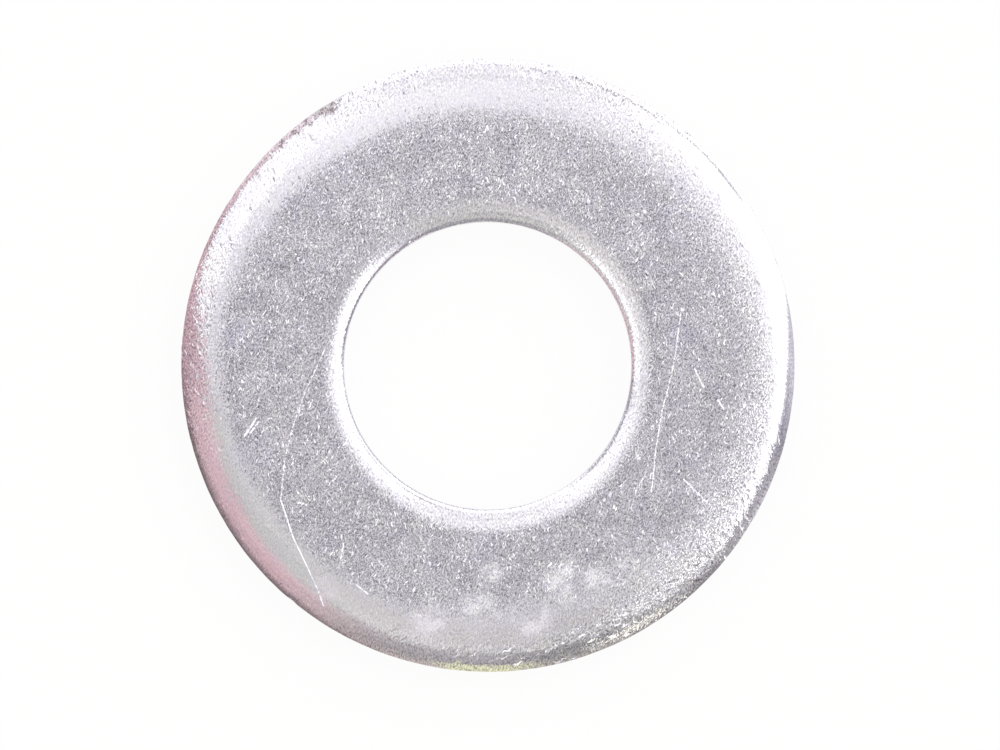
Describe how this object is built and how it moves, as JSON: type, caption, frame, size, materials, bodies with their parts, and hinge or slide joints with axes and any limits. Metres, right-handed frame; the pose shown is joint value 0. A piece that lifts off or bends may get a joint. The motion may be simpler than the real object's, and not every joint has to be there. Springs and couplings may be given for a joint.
{
  "type": "flat washer",
  "caption": "Flat round washer punched from steel strip, with a plain bolt hole, rolled top edges, sheared walls and a bright zinc finish.",
  "frame": {"origin": "centre of the bolt hole, on the underside that the washer lies on", "axes": "+Z along the hole's axis, from the torn underside to the face with the rolled edges; X and Y lie in the plane of the ring"},
  "size_m": [0.018, 0.018, 0.0016],
  "materials": {
    "zinc_plated_steel": "bright clear zinc plating over punched steel, fine matt grain on the flat faces and satin on the rolled edges"
  },
  "bodies": {
    "root": {"washer": "zinc_plated_steel"}
  },
  "joints": []
}
